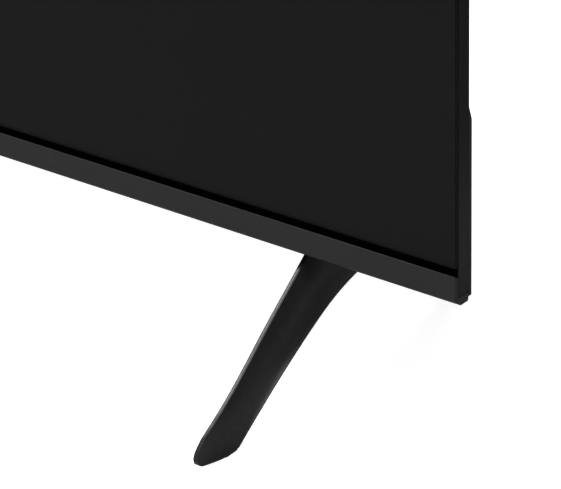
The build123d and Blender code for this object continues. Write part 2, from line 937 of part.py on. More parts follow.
def rear_cover():
    outer = band_form(0) + hump_form(0)
    inner = band_form(cover_wall) + hump_form(cover_wall)
    pockets = []
    for side, span in ((-1, side_bay_height), (1, inlet_bay_height)):
        pockets.append((bay_space(side, span, 0), bay_space(side, span, cover_wall)))
    for side in (-1, 1):
        space = tenon_block(side, fit_gap / 2, -cover_drop - overrun)
        pockets.append((space, tenon_block(side, cover_wall, -cover_drop)))
    hollow = inner
    for space, walls in pockets:
        hollow -= walls
    body = outer - hollow
    for space, walls in pockets:
        body -= space
    body += cover_ribs(hollow) + cover_bosses()
    body -= tray_form(fit_gap / 2, fit_gap / 2)
    body -= bar_along_depth(
        rect_between((-plate_side, plate_side), (plate_bottom, plate_top)), (0, edge_depth)
    )
    cutters = socket_windows() + vent_slots() + grille_slots(-1) + grille_slots(1)
    for x, height in vesa_places():
        cutters.append(rod(x, height, vesa_radius + fit_gap, (tray_depth, hump_depth + overrun)))
    for x, height, seat, metal in cover_screw_places():
        cutters.append(rod(x, height, screw_head_radius + screw_gap, (seat - screw_recess, seat + overrun)))
        cutters.append(rod(x, height, screw_shank_radius + screw_gap, (metal, seat + overrun)))
    for x, height in foot_screw_places():
        cutters.append(rod(x, height, screw_head_radius + screw_gap, (band_depth - screw_recess, hump_depth)))
        cutters.append(rod(x, height, screw_shank_radius + screw_gap, (tenon_depth[1] - overrun, hump_depth)))
    return body - cutters


def vesa_places():
    return [(x, vesa_bottom + row * vesa_pitch) for x in (-vesa_pitch / 2, vesa_pitch / 2) for row in (0, 1)]


def vesa_inserts():
    inserts = []
    for x, height in vesa_places():
        insert = rod(x, height, vesa_radius, (tray_depth, hump_depth))
        insert += hex_post(x, height, vesa_flange_radius, (tray_depth, tray_depth + vesa_flange))
        insert -= rod(x, height, vesa_hole_radius, (hump_depth - vesa_hole_depth, hump_depth + overrun))
        inserts.append(insert)
    return Compound(children=inserts)


def screw(x, height, seat):
    """Pan-head screw whose head stands on a recess that faces backwards."""
    floor = seat - screw_recess
    head = rod(x, height, screw_head_radius, (floor, floor + screw_head_height))
    return head + rod(x, height, screw_shank_radius, (floor - screw_length, floor))


def cover_screws():
    return Compound(children=[screw(x, height, seat) for x, height, seat, metal in cover_screw_places()])


def foot_screw_places():
    middle = foot_axis_x((tenon_depth[0] + tenon_depth[1]) / 2)
    return [(side * middle, height) for side in (-1, 1) for height in foot_screw_heights]


def foot_screws():
    return Compound(children=[screw(x, height, band_depth) for x, height in foot_screw_places()])


def speaker_box(side):
    low = -cover_drop + cover_wall
    span = speaker_span(side)
    body = block(span, speaker_depth, (low, low + speaker_height))
    wall = speaker_wall
    body -= block(
        (span[0] + wall, span[1] - wall), (speaker_depth[0] + wall, speaker_depth[1] - wall),
        (low + wall, low + speaker_height - wall),
    )
    mouth = driver_outline(side, fit_gap)
    return body - bar_along_z(mouth, (low - overrun, low + wall + fit_gap))


def driver_outline(side, grow):
    middle = side * (speaker_x[0] + speaker_x[1]) / 2
    depth = (speaker_depth[0] + speaker_depth[1]) / 2
    return Pos(middle, depth) * SlotOverall(driver_length + 2 * grow, driver_width + 2 * grow)


def speaker_driver(side):
    """Racetrack frame, sloping cone and magnet of one driver, facing down."""
    low = -cover_drop + cover_wall
    middle = side * (speaker_x[0] + speaker_x[1]) / 2
    depth = (speaker_depth[0] + speaker_depth[1]) / 2
    plate = bar_along_z(driver_outline(side, 0), (low, low + driver_plate))
    top = low + driver_plate + cone_depth
    mouth = Pos(middle, front_y + depth, lift + low) * SlotOverall(
        driver_length - 2 * driver_lip, driver_width - 2 * driver_lip
    )
    throat = Pos(middle, front_y + depth, lift + top) * SlotOverall(
        driver_length - 2 * driver_lip - cone_depth, driver_width - 2 * driver_lip - cone_depth
    )
    horn = loft([mouth, throat])
    cup = rod_up(middle, depth, magnet_radius, (top, top + magnet_height))
    basket = bar_along_z(driver_outline(side, -driver_lip / 2), (low + driver_plate, top + driver_plate))
    return plate + basket - horn + cup


def pod_outline(inset):
    width = pod_length - 2 * inset
    depth = pod_depth - 2 * inset
    radius = max(pod_corner_radius - inset, pod_wall)
    return Pos(0, pod_front + pod_depth / 2) * RectangleRounded(width, depth, radius)


def pod_bottom():
    return -keel_drop - pod_height


def board_level():
    """Underside of the control board, on the pod's inner step."""
    return -keel_drop - pod_step


def sensor_housing():
    body = bar_along_z(pod_outline(0), (pod_bottom(), -keel_drop))
    body -= bar_along_z(pod_outline(pod_side_wall), (pod_bottom() + pod_wall, -keel_drop + overrun))
    body -= bar_along_z(pod_outline(pod_wall), (board_level(), -keel_drop + overrun))
    window_low = pod_bottom() + pod_wall
    body -= block(
        (-lens_width / 2 - fit_gap / 2, lens_width / 2 + fit_gap / 2), (0, pod_front + pod_side_wall),
        (window_low, window_low + lens_slot_height),
    )
    return body - rod_up(button_offset, pod_mid(), button_radius + button_gap, (pod_bottom() - overrun, 0))


def pod_mid():
    return pod_front + pod_depth / 2


def sensor_lens():
    low = pod_bottom() + pod_wall
    return block(
        (-lens_width / 2, lens_width / 2), (pod_front, pod_front + lens_thickness),
        (low, low + lens_slot_height),
    )


def control_board():
    level = board_level()
    board = bar_along_z(pod_outline(pod_wall + fit_gap / 2), (level, level + control_board_thickness))
    depth = pod_front + lens_thickness + fit_gap
    receiver = block(
        (-switch_size / 2, switch_size / 2), (depth, depth + switch_height), (level - switch_height, level)
    )
    return board + receiver


def tact_switch():
    level = board_level()
    half_size = switch_size / 2
    return block(
        (button_offset - half_size, button_offset + half_size),
        (pod_mid() - half_size, pod_mid() + half_size), (level - switch_height, level),
    )


def power_button():
    floor = pod_bottom() + pod_wall + fit_gap / 2
    top = board_level() - switch_height - button_travel - fit_gap / 2
    stem = rod_up(button_offset, pod_mid(), button_radius, (pod_bottom() - button_proud, top))
    flange = rod_up(button_offset, pod_mid(), button_flange_radius, (floor, floor + button_flange))
    return stem + flange


def blade_section(outer, inner, thickness):
    """Section of the blade: narrow crowned nose, swelling sides and a rounded inner edge."""
    chord = Vector(0, inner[0] - outer[0], inner[1] - outer[1])
    width = chord.length
    plane = Plane(
        origin=(0, outer[0], outer[1]), x_dir=chord, z_dir=chord.cross(Vector(1, 0, 0))
    )
    swell = width * swell_share
    swell_half = thickness * swell_thickness_share
    turn = width - thickness * turn_share
    turn_half = thickness * turn_thickness_share
    edges = [
        ThreePointArc((nose_crown, -nose_half), (0, 0), (nose_crown, nose_half)),
        ThreePointArc((nose_crown, nose_half), (swell, swell_half), (turn, turn_half)),
        ThreePointArc((turn, turn_half), (width, 0), (turn, -turn_half)),
        ThreePointArc((turn, -turn_half), (swell, -swell_half), (nose_crown, -nose_half)),
    ]
    return plane * make_face(edges)


def foot_blade():
    """Arched blade in its own frame: Y along the foot, Z from the bezel's bottom edge."""
    sections = []
    shares = zip(outer_edge_shares, inner_edge_shares, blade_thickness_shares)
    for outer, inner, thickness in shares:
        outer_point = (outer[0] * front_reach, outer[1] * foot_height)
        inner_point = (inner[0] * front_reach, inner[1] * foot_height)
        sections.append(blade_section(outer_point, inner_point, thickness * blade_half))
    return loft(sections)


def foot_outline():
    """Side outline that the blade is trimmed to: flat sole, rounded toes and a level top."""
    toe = [(run * toe_run - front_reach, rise * toe_rise - foot_height) for run, rise in toe_shares]
    rear_sole = rear_reach - heel_run
    run_share, rise_share = heel_curve_shares
    heel_curve = (rear_sole + heel_run * run_share, -foot_height + heel_rise * rise_share)
    heel_top = -foot_height + heel_rise
    edges = [
        Line((toe[0][0], -cover_drop), toe[0]),
        Spline(*toe),
        Line(toe[-1], (rear_sole, -foot_height)),
        ThreePointArc((rear_sole, -foot_height), heel_curve, (rear_reach, heel_top)),
        Line((rear_reach, heel_top), (rear_reach, -cover_drop)),
        Line((rear_reach, -cover_drop), (toe[0][0], -cover_drop)),
    ]
    return make_face(edges)


def pad_form(place):
    low = -foot_height - pad_proud
    high = -foot_height + pad_seat
    pad = Pos(0, place, low) * Rot(0, 0, 90) * SlotOverall(pad_length, pad_width)
    return extrude(pad, amount=high - low, dir=(0, 0, 1))


def foot_placed(shape, side):
    """Move a shape from the foot's own frame to its place under the screen."""
    root = Pos(half - foot_inset - nose_half, front_y + foot_root_depth, lift)
    turned = root * Rot(0, 0, foot_toe_out) * shape
    return turned if side > 0 else mirror(turned, about=Plane.YZ)


def foot(side):
    reach = blade_half + overrun
    plane = Plane(origin=(-reach, 0, 0), x_dir=(0, 1, 0), z_dir=(1, 0, 0))
    trim = extrude(plane * foot_outline(), amount=2 * reach, dir=plane.z_dir)
    blade = foot_blade() & trim
    for place in (front_pad_place, rear_pad_place):
        blade -= pad_form(place)
    body = foot_placed(blade, side) + tenon_block(side, 0, -cover_drop)
    for x, height in foot_screw_places():
        body -= rod(x, height, screw_shank_radius, (band_depth - screw_recess - screw_length, hump_depth))
    return body


def foot_pads(side):
    pads = [foot_placed(pad_form(place), side) for place in (front_pad_place, rear_pad_place)]
    return Compound(children=pads)


def foot_brackets():
    plates = []
    for side in (-1, 1):
        middle = side * foot_axis_x((tenon_depth[0] + tenon_depth[1]) / 2)
        span = (middle - bracket_half, middle + bracket_half)
        plates.append(block(span, (tray_depth, bracket_back), bracket_height))
    return Compound(children=plates)


def nodes():
    rows = led_rows()
    named = {
        "front_bezel": front_bezel(),
        "side_trim_left": side_trim(-1),
        "side_trim_right": side_trim(1),
        "top_trim": top_trim(),
        "lcd_panel": lcd_panel(),
        "black_edge_strip": black_edge_strip(),
        "middle_frame": middle_frame(),
        "prism_film": optical_layer(film_depth, film_thickness),
        "diffuser_film": optical_layer(film_depth + film_thickness, film_thickness),
        "diffuser_plate": optical_layer(plate_depth, plate_thickness),
        "reflector_sheet": reflector_sheet(),
        "led_lenses": led_lenses(),
        "back_panel": back_panel(),
        "source_board": source_board(),
        "cof_films": cof_films(),
        "tcon_board": tcon_board(),
        "tcon_ribbon": tcon_ribbon(),
        "main_board": circuit_board(main_x, main_height),
        "main_heatsink": main_heatsink(),
        "hdmi_sockets": hdmi_sockets(),
        "usb_sockets": usb_sockets(),
        "lan_socket": lan_socket(),
        "headphone_jack": headphone_jack(),
        "antenna_socket": antenna_socket(),
        "power_board": circuit_board(power_x, power_height),
        "power_transformer": power_transformer(),
        "power_capacitors": power_capacitors(),
        "power_heatsink": power_heatsink(),
        "power_inlet": power_inlet(),
        "inlet_pins": inlet_pins(),
        "wifi_module": wifi_module(),
        "board_standoffs": board_standoffs(),
        "speaker_box_left": speaker_box(-1),
        "speaker_box_right": speaker_box(1),
        "speaker_driver_left": speaker_driver(-1),
        "speaker_driver_right": speaker_driver(1),
        "sensor_housing": sensor_housing(),
        "sensor_lens": sensor_lens(),
        "control_board": control_board(),
        "tact_switch": tact_switch(),
        "power_button": power_button(),
        "rear_cover": rear_cover(),
        "vesa_inserts": vesa_inserts(),
        "cover_screws": cover_screws(),
        "foot_left": foot(-1),
        "foot_right": foot(1),
        "foot_pads_left": foot_pads(-1),
        "foot_pads_right": foot_pads(1),
        "foot_brackets": foot_brackets(),
        "foot_screws": foot_screws(),
    }
    for place, height in zip(("lower", "middle", "upper"), rows):
        named["led_strip_" + place] = led_strip(height)
    return named


os.makedirs("parts", exist_ok=True)
for node_name, shape in nodes().items():
    export_step(shape, "parts/" + node_name + ".step")
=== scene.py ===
import math

import bmesh
import bpy
from mathutils import Matrix, Vector


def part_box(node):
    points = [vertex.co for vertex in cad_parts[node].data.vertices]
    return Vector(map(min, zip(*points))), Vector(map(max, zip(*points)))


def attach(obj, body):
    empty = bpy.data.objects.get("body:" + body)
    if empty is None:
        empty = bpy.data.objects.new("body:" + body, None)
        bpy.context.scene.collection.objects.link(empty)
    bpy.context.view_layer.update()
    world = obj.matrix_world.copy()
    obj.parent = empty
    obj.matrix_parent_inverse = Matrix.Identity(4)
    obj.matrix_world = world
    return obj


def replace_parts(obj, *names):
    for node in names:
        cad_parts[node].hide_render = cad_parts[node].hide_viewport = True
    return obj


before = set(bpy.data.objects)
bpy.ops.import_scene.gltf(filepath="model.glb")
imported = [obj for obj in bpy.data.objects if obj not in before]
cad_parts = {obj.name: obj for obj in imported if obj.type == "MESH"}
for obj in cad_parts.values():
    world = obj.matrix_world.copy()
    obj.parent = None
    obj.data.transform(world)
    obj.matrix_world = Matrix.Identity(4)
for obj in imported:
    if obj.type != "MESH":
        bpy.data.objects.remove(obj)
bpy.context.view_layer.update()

# The view. A long lens looks down on the set's lower right corner from the front right,
# held a little askew. Its place is measured from that corner of the bezel.
bezel_low, bezel_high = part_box("front_bezel")
keel_drop = 0.00275
bezel_corner = Vector((bezel_high.x, bezel_low.y, bezel_low.z + keel_drop))
view_azimuth = math.radians(39.621)
view_drop = math.radians(26.011)
view_roll = math.radians(-1.9495)
corner_in_view = Vector((0.07853, -0.02621, -1.12641))

camera_data = bpy.data.cameras.new("view")
camera_data.lens = 161.54
camera_data.sensor_width = 36.0
camera_data.sensor_fit = "HORIZONTAL"
camera = bpy.data.objects.new("view", camera_data)
bpy.context.scene.collection.objects.link(camera)
camera_turn = (
    Matrix.Rotation(view_azimuth, 4, "Z")
    @ Matrix.Rotation(math.pi / 2 - view_drop, 4, "X")
    @ Matrix.Rotation(view_roll, 4, "Z")
)
camera_place = bezel_corner - camera_turn.to_3x3() @ corner_in_view
camera.matrix_world = Matrix.Translation(camera_place) @ camera_turn
bpy.context.scene.camera = camera
bpy.context.scene.view_settings.view_transform = "Standard"

# The studio. A pale floor without an edge in view, a white room, a soft lamp over the left, one
# over the front and one behind, and two faint pools of light on the floor at the right, which
# the foot and the side trim mirror. The floor keeps the set's shadow.
floor_half = 12.0
floor_tone = (0.62, 0.62, 0.62, 1.0)
floor_lift = 0.91
room_strength = 0.12
gloss_share = 0.06


def seen_directly(nodes, links):
    """One for rays that show the background straight or through glass, less in a gloss."""
    rays = nodes.new("ShaderNodeLightPath")
    mask = rays.outputs["Is Camera Ray"]
    for label, share in (("Is Glossy Ray", gloss_share), ("Is Transmission Ray", 1.0)):
        added = nodes.new("ShaderNodeMath")
        added.operation = "MULTIPLY_ADD"
        added.inputs[1].default_value = share
        links.new(rays.outputs[label], added.inputs[0])
        links.new(mask, added.inputs[2])
        mask = added.outputs[0]
    return mask


def lit_room():
    """World that is white where the camera or a gloss sees it, and softer as a light."""
    world = bpy.data.worlds.new("room")
    world.use_nodes = True
    nodes, links = world.node_tree.nodes, world.node_tree.links
    shade = nodes["Background"]
    shade.inputs["Color"].default_value = (1.0, 1.0, 1.0, 1.0)
    level = nodes.new("ShaderNodeMapRange")
    level.inputs["To Min"].default_value = room_strength
    level.inputs["To Max"].default_value = 1.0
    links.new(seen_directly(nodes, links), level.inputs["Value"])
    links.new(level.outputs[0], shade.inputs["Strength"])
    return world


def floor_material():
    """Pale floor, lifted a little for the camera and clear from below."""
    material = bpy.data.materials.new("floor")
    material.use_nodes = True
    nodes, links = material.node_tree.nodes, material.node_tree.links
    paint = nodes["Principled BSDF"]
    paint.inputs["Base Color"].default_value = floor_tone
    paint.inputs["Roughness"].default_value = 0.9
    paint.inputs["Specular IOR Level"].default_value = 0.0
    paint.inputs["Emission Color"].default_value = (1.0, 1.0, 1.0, 1.0)
    lifted = nodes.new("ShaderNodeMath")
    lifted.operation = "MULTIPLY"
    lifted.inputs[1].default_value = floor_lift
    links.new(seen_directly(nodes, links), lifted.inputs[0])
    links.new(lifted.outputs[0], paint.inputs["Emission Strength"])
    below = nodes.new("ShaderNodeNewGeometry")
    clear = nodes.new("ShaderNodeBsdfTransparent")
    either = nodes.new("ShaderNodeMixShader")
    links.new(below.outputs["Backfacing"], either.inputs["Fac"])
    links.new(paint.outputs["BSDF"], either.inputs[1])
    links.new(clear.outputs["BSDF"], either.inputs[2])
    links.new(either.outputs["Shader"], nodes["Material Output"].inputs["Surface"])
    return material


def softbox(name, place, target, size, power, spread=180.0):
    """Rectangular lamp that points at a target."""
    lamp = bpy.data.lights.new(name, "AREA")
    lamp.shape = "RECTANGLE"
    lamp.size, lamp.size_y = size
    lamp.energy = power
    lamp.spread = math.radians(spread)
    holder = bpy.data.objects.new(name, lamp)
    bpy.context.scene.collection.objects.link(holder)
    holder.location = place
    holder.rotation_euler = (Vector(target) - Vector(place)).to_track_quat("-Z", "Y").to_euler()
    return holder


bpy.context.scene.world = lit_room()
floor_mesh = bpy.data.meshes.new("floor")
floor_corners = [
    (x * floor_half, y * floor_half, 0) for x, y in ((-1, -1), (1, -1), (1, 1), (-1, 1))
]
floor_mesh.from_pydata(floor_corners, [], [(0, 1, 2, 3)])
floor_mesh.materials.append(floor_material())
floor = bpy.data.objects.new("floor", floor_mesh)
bpy.context.scene.collection.objects.link(floor)
softbox(
    "lamp_over_left", place=(-1.2, -0.75, 2.3), target=(0.3, -0.1, 0.1),
    size=(0.42, 0.32), power=75.0,
)
softbox(
    "lamp_front", place=(-0.6, -1.5, 3.0), target=(0.3, 0.0, 0.2),
    size=(1.2, 1.0), power=56.0,
)
softbox(
    "lamp_pool", place=(0.8, -0.65, 2.2), target=(0.62, -0.36, 0.0),
    size=(0.3, 0.3), power=1.2, spread=35.0,
)
softbox(
    "lamp_side", place=(1.0, 0.1, 1.6), target=(0.64, 0.14, 0.0),
    size=(0.06, 0.06), power=0.14, spread=10.0,
)
softbox(
    "lamp_behind", place=(-0.9, 2.2, 1.7), target=(0.0, 0.0, 0.3),
    size=(1.4, 1.2), power=15.0,
)

# The back tray is one sheet of black-coated steel, pressed into a dish with long beads.
# Posts, brackets and wall-mount inserts of zinc-plated steel stand on it. A coat or moulding
# has a fine grain and a slow drift in tone, and rolled steel has long streaks from the mill.
drift_detail = 3.0
grain_detail = 2.0
drift_span = (0.32, 0.68)
grain_span = (0.3, 0.7)
streak_stretch = (0.04, 1.0, 1.0)


def finish_group(name, build):
    """Shader group that takes two scales and puts out Tone, a slow mask, and Height, a relief."""
    group = bpy.data.node_groups.new(name, "ShaderNodeTree")
    for way, labels in (("INPUT", ("Drift", "Grain")), ("OUTPUT", ("Tone", "Height"))):
        for label in labels:
            group.interface.new_socket(label, in_out=way, socket_type="NodeSocketFloat")
    given = group.nodes.new("NodeGroupInput")
    result = group.nodes.new("NodeGroupOutput")
    place = group.nodes.new("ShaderNodeTexCoord")
    build(group.nodes, group.links, given, result, place.outputs["Object"])
    return group


def noise(nodes, links, vector, scale, detail):
    """Noise texture at the scale that a socket gives."""
    texture = nodes.new("ShaderNodeTexNoise")
    texture.inputs["Detail"].default_value = detail
    links.new(vector, texture.inputs["Vector"])
    links.new(scale, texture.inputs["Scale"])
    return texture.outputs["Fac"]


def stretched(nodes, links, value, span):
    """Spread a narrow range of a value over 0 to 1."""
    spread = nodes.new("ShaderNodeMapRange")
    spread.inputs["From Min"].default_value, spread.inputs["From Max"].default_value = span
    links.new(value, spread.inputs["Value"])
    return spread.outputs[0]


def build_grain(nodes, links, given, result, vector):
    """Even grain over a slow drift, as on a moulding or a coat."""
    drift = noise(nodes, links, vector, given.outputs["Drift"], drift_detail)
    grain = noise(nodes, links, vector, given.outputs["Grain"], grain_detail)
    links.new(stretched(nodes, links, drift, drift_span), result.inputs["Tone"])
    links.new(stretched(nodes, links, grain, grain_span), result.inputs["Height"])


def build_streaks(nodes, links, given, result, vector):
    """Grain and drift drawn out along the set, as on rolled sheet and film."""
    along = nodes.new("ShaderNodeMapping")
    along.inputs["Scale"].default_value = streak_stretch
    links.new(vector, along.inputs["Vector"])
    drift = noise(nodes, links, along.outputs["Vector"], given.outputs["Drift"], drift_detail)
    lines = noise(nodes, links, along.outputs["Vector"], given.outputs["Grain"], grain_detail)
    links.new(stretched(nodes, links, drift, grain_span), result.inputs["Tone"])
    links.new(stretched(nodes, links, lines, grain_span), result.inputs["Height"])


moulding_grain = finish_group("moulding_grain", build_grain)
mill_streaks = finish_group("mill_streaks", build_streaks)


def finish(
    name, light, dark, rough, relief, group=moulding_grain, drift=14.0, grain=1500.0, **constants
):
    """Material whose colour and roughness drift between two values over a fine relief."""
    material = bpy.data.materials.new(name)
    material.use_nodes = True
    nodes, links = material.node_tree.nodes, material.node_tree.links
    surface = nodes["Principled BSDF"]
    pattern = nodes.new("ShaderNodeGroup")
    pattern.node_tree = group
    pattern.inputs["Drift"].default_value = drift
    pattern.inputs["Grain"].default_value = grain
    colour = nodes.new("ShaderNodeMix")
    colour.data_type = "RGBA"
    colour.inputs["A"].default_value = (*light, 1.0)
    colour.inputs["B"].default_value = (*dark, 1.0)
    links.new(pattern.outputs["Tone"], colour.inputs["Factor"])
    links.new(colour.outputs["Result"], surface.inputs["Base Color"])
    gloss = nodes.new("ShaderNodeMapRange")
    gloss.inputs["To Min"].default_value, gloss.inputs["To Max"].default_value = rough
    links.new(pattern.outputs["Tone"], gloss.inputs["Value"])
    links.new(gloss.outputs[0], surface.inputs["Roughness"])
    bump = nodes.new("ShaderNodeBump")
    bump.inputs["Distance"].default_value = relief
    bump.inputs["Strength"].default_value = 1.0
    links.new(pattern.outputs["Height"], bump.inputs["Height"])
    links.new(bump.outputs["Normal"], surface.inputs["Normal"])
    for label, value in constants.items():
        surface.inputs[label.replace("_", " ")].default_value = value
    return material


def dress(material, *names):
    """Give CAD nodes a finish."""
    for name in names:
        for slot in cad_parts[name].material_slots:
            slot.material = material


coated_steel = finish(
    "coated_steel", light=(0.026, 0.026, 0.027), dark=(0.02, 0.02, 0.021),
    rough=(0.42, 0.52), relief=0.00002, Metallic=0.0,
)
plated_steel = finish(
    "plated_steel", light=(0.6, 0.6, 0.61), dark=(0.5, 0.5, 0.52),
    rough=(0.26, 0.4), relief=0.00001, group=mill_streaks, Metallic=1.0,
)
dress(coated_steel, "back_panel")
dress(plated_steel, "board_standoffs", "foot_brackets", "vesa_inserts")

# The backlight: three coated strips with lens caps, a white reflector punched round them, and
# a plate and two films laid over the dish.
white_coat = finish(
    "white_coat", light=(0.86, 0.86, 0.85), dark=(0.8, 0.8, 0.79),
    rough=(0.5, 0.6), relief=0.00001,
)
reflector_white = finish(
    "reflector_white", light=(0.92, 0.92, 0.92), dark=(0.88, 0.88, 0.88),
    rough=(0.6, 0.7), relief=0.00002,
)
lens_clear = finish(
    "lens_clear", light=(0.93, 0.95, 0.97), dark=(0.9, 0.92, 0.95),
    rough=(0.05, 0.12), relief=0.000005,
)
diffuser_white = finish(
    "diffuser_white", light=(0.9, 0.9, 0.9), dark=(0.87, 0.87, 0.87),
    rough=(0.4, 0.5), relief=0.00001,
)
optical_film = finish(
    "optical_film", light=(0.84, 0.86, 0.88), dark=(0.8, 0.82, 0.85),
    rough=(0.14, 0.22), relief=0.00001, group=mill_streaks, grain=2400.0,
)
dress(white_coat, "led_strip_lower", "led_strip_middle", "led_strip_upper")
dress(reflector_white, "reflector_sheet")
dress(lens_clear, "led_lenses")
dress(diffuser_white, "diffuser_plate")
dress(optical_film, "prism_film", "diffuser_film")

# The picture cell: glass with a hazy polariser on its face, in a black middle frame. Its edge
# below the picture is a black strip, dead black with no gloss, which is partly the panel's own
# black border and partly painted shade for the gap between glass and bezel, and its driver board
# hangs under it behind the bezel.
inner_plastic = finish(
    "inner_plastic", light=(0.022, 0.022, 0.022), dark=(0.018, 0.018, 0.018),
    rough=(0.5, 0.62), relief=0.00003,
)
screen_glass = finish(
    "screen_glass", light=(0.0098, 0.0098, 0.01), dark=(0.0093, 0.0093, 0.0095),
    rough=(0.4, 0.42), relief=0.000001, drift=5.0, grain=5000.0, Specular_IOR_Level=0.02,
)
# Painted shade: the strip's dead black with no gloss also stands for the shade in the gap under
# the glass.
dead_black = finish(
    "dead_black", light=(0.0004, 0.0004, 0.0004), dark=(0.0002, 0.0002, 0.0002),
    rough=(0.6, 0.7), relief=0.000002, Specular_IOR_Level=0.0,
)
dress(inner_plastic, "middle_frame")
dress(screen_glass, "lcd_panel")
dress(dead_black, "black_edge_strip")

# Circuit boards of glass laminate under green or tan mask stand on the tray's posts. They carry
# aluminium sinks, a ferrite transformer and sleeved capacitors, and flat white cables join them.
green_mask = finish(
    "green_mask", light=(0.018, 0.11, 0.045), dark=(0.012, 0.08, 0.035),
    rough=(0.25, 0.36), relief=0.00002, grain=700.0,
)
tan_mask = finish(
    "tan_mask", light=(0.42, 0.28, 0.13), dark=(0.36, 0.23, 0.1),
    rough=(0.4, 0.5), relief=0.00002, grain=700.0,
)
flat_cable = finish(
    "flat_cable", light=(0.78, 0.78, 0.76), dark=(0.7, 0.7, 0.69),
    rough=(0.3, 0.42), relief=0.00001, group=mill_streaks,
)
extruded = finish(
    "extruded", light=(0.72, 0.72, 0.73), dark=(0.62, 0.62, 0.64),
    rough=(0.3, 0.44), relief=0.00001, group=mill_streaks, Metallic=1.0,
)
ferrite = finish(
    "ferrite", light=(0.07, 0.065, 0.06), dark=(0.045, 0.042, 0.04),
    rough=(0.55, 0.7), relief=0.00005, grain=900.0,
)
sleeve = finish(
    "sleeve", light=(0.03, 0.03, 0.06), dark=(0.02, 0.02, 0.045),
    rough=(0.24, 0.34), relief=0.00001,
)
dress(green_mask, "source_board", "tcon_board", "main_board", "wifi_module", "control_board")
dress(tan_mask, "power_board")
dress(flat_cable, "cof_films", "tcon_ribbon")
dress(extruded, "main_heatsink", "power_heatsink")
dress(ferrite, "power_transformer")
dress(sleeve, "power_capacitors")

# Sockets: folded plated shells for video and data, a turned barrel for the aerial, and black
# mouldings for the rest, soldered to their boards. The mains inlet has brass pins.
plated_shell = finish(
    "plated_shell", light=(0.62, 0.62, 0.61), dark=(0.54, 0.54, 0.54),
    rough=(0.22, 0.34), relief=0.000008, group=mill_streaks, Metallic=1.0,
)
socket_moulding = finish(
    "socket_moulding", light=(0.017, 0.017, 0.017), dark=(0.012, 0.012, 0.012),
    rough=(0.38, 0.5), relief=0.00002,
)
brass_pin = finish(
    "brass_pin", light=(0.78, 0.62, 0.32), dark=(0.7, 0.54, 0.26),
    rough=(0.2, 0.3), relief=0.000005, group=mill_streaks, Metallic=1.0,
)
dress(plated_shell, "hdmi_sockets", "usb_sockets", "antenna_socket")
dress(socket_moulding, "lan_socket", "headphone_jack", "power_inlet", "tact_switch")
dress(brass_pin, "inlet_pins")

# Inside the sockets stand moulded tongues with gold-plated contacts, and the network socket
# has eight sprung wires. They are stamped and pressed into the tongue before it is fitted.
socket_mouth_setback = 0.0008
video_tongue = (0.0095, 0.001, 0.011)
video_contact = (0.0062, 0.00012, 0.00026)
video_contact_count = 10
video_contact_pitch = 0.001
data_tongue = (0.0085, 0.0018, 0.0108)
data_tongue_shift = 0.0007
data_contact = (0.0062, 0.00012, 0.0011)
data_contact_count = 4
data_contact_pitch = 0.0024
network_wire = (0.0075, 0.00035, 0.00035)
network_wire_count = 8
network_wire_pitch = 0.00102
network_wire_height = 0.0034
weld_distance = 0.000001
sort_digits = 5


def loose_parts(name):
    """Lowest and highest corner of each separate part of a CAD node."""
    copy = bmesh.new()
    copy.from_mesh(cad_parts[name].data)
    bmesh.ops.remove_doubles(copy, verts=copy.verts, dist=weld_distance)
    left, parts = set(copy.verts), []
    while left:
        front = [left.pop()]
        part = [front[0].co.copy()]
        while front:
            for edge in front.pop().link_edges:
                for corner in edge.verts:
                    if corner in left:
                        left.discard(corner)
                        front.append(corner)
                        part.append(corner.co.copy())
        parts.append((
            Vector(min(p[i] for p in part) for i in range(3)),
            Vector(max(p[i] for p in part) for i in range(3)),
        ))
    copy.free()
    return sorted(parts, key=lambda part: tuple(round(value, sort_digits) for value in part[0]))


def start_tree(name, sizes):
    """Geometry tree that takes points, named sizes, a seed and a finish, and puts out a mesh."""
    tree = bpy.data.node_groups.new(name, "GeometryNodeTree")
    tree.interface.new_socket("Places", in_out="INPUT", socket_type="NodeSocketGeometry")
    for label in sizes:
        tree.interface.new_socket(label, in_out="INPUT", socket_type="NodeSocketFloat")
    tree.interface.new_socket("Seed", in_out="INPUT", socket_type="NodeSocketInt")
    tree.interface.new_socket("Finish", in_out="INPUT", socket_type="NodeSocketMaterial")
    tree.interface.new_socket("Pieces", in_out="OUTPUT", socket_type="NodeSocketGeometry")
    return tree, tree.nodes.new("NodeGroupInput")


def end_tree(tree, given, item, turn=None):
    """Put the item on every point, and end in Realize Instances and Set Material."""
    nodes, links = tree.nodes, tree.links
    spread = nodes.new("GeometryNodeInstanceOnPoints")
    whole = nodes.new("GeometryNodeRealizeInstances")
    paint = nodes.new("GeometryNodeSetMaterial")
    result = nodes.new("NodeGroupOutput")
    links.new(given.outputs["Places"], spread.inputs["Points"])
    links.new(item, spread.inputs["Instance"])
    if turn is not None:
        links.new(turn, spread.inputs["Rotation"])
    links.new(spread.outputs["Instances"], whole.inputs["Geometry"])
    links.new(whole.outputs["Geometry"], paint.inputs["Geometry"])
    links.new(given.outputs["Finish"], paint.inputs["Material"])
    links.new(paint.outputs["Geometry"], result.inputs["Pieces"])
    return tree


def block_tree():
    """Rectangular blocks of one size on a set of points."""
    tree, given = start_tree("blocks", ("Length", "Height", "Width"))
    block = tree.nodes.new("GeometryNodeMeshCube")
    size = tree.nodes.new("ShaderNodeCombineXYZ")
    for label, axis in (("Length", "X"), ("Height", "Y"), ("Width", "Z")):
        tree.links.new(given.outputs[label], size.inputs[axis])
    tree.links.new(size.outputs["Vector"], block.inputs["Size"])
    return end_tree(tree, given, block.outputs["Mesh"])


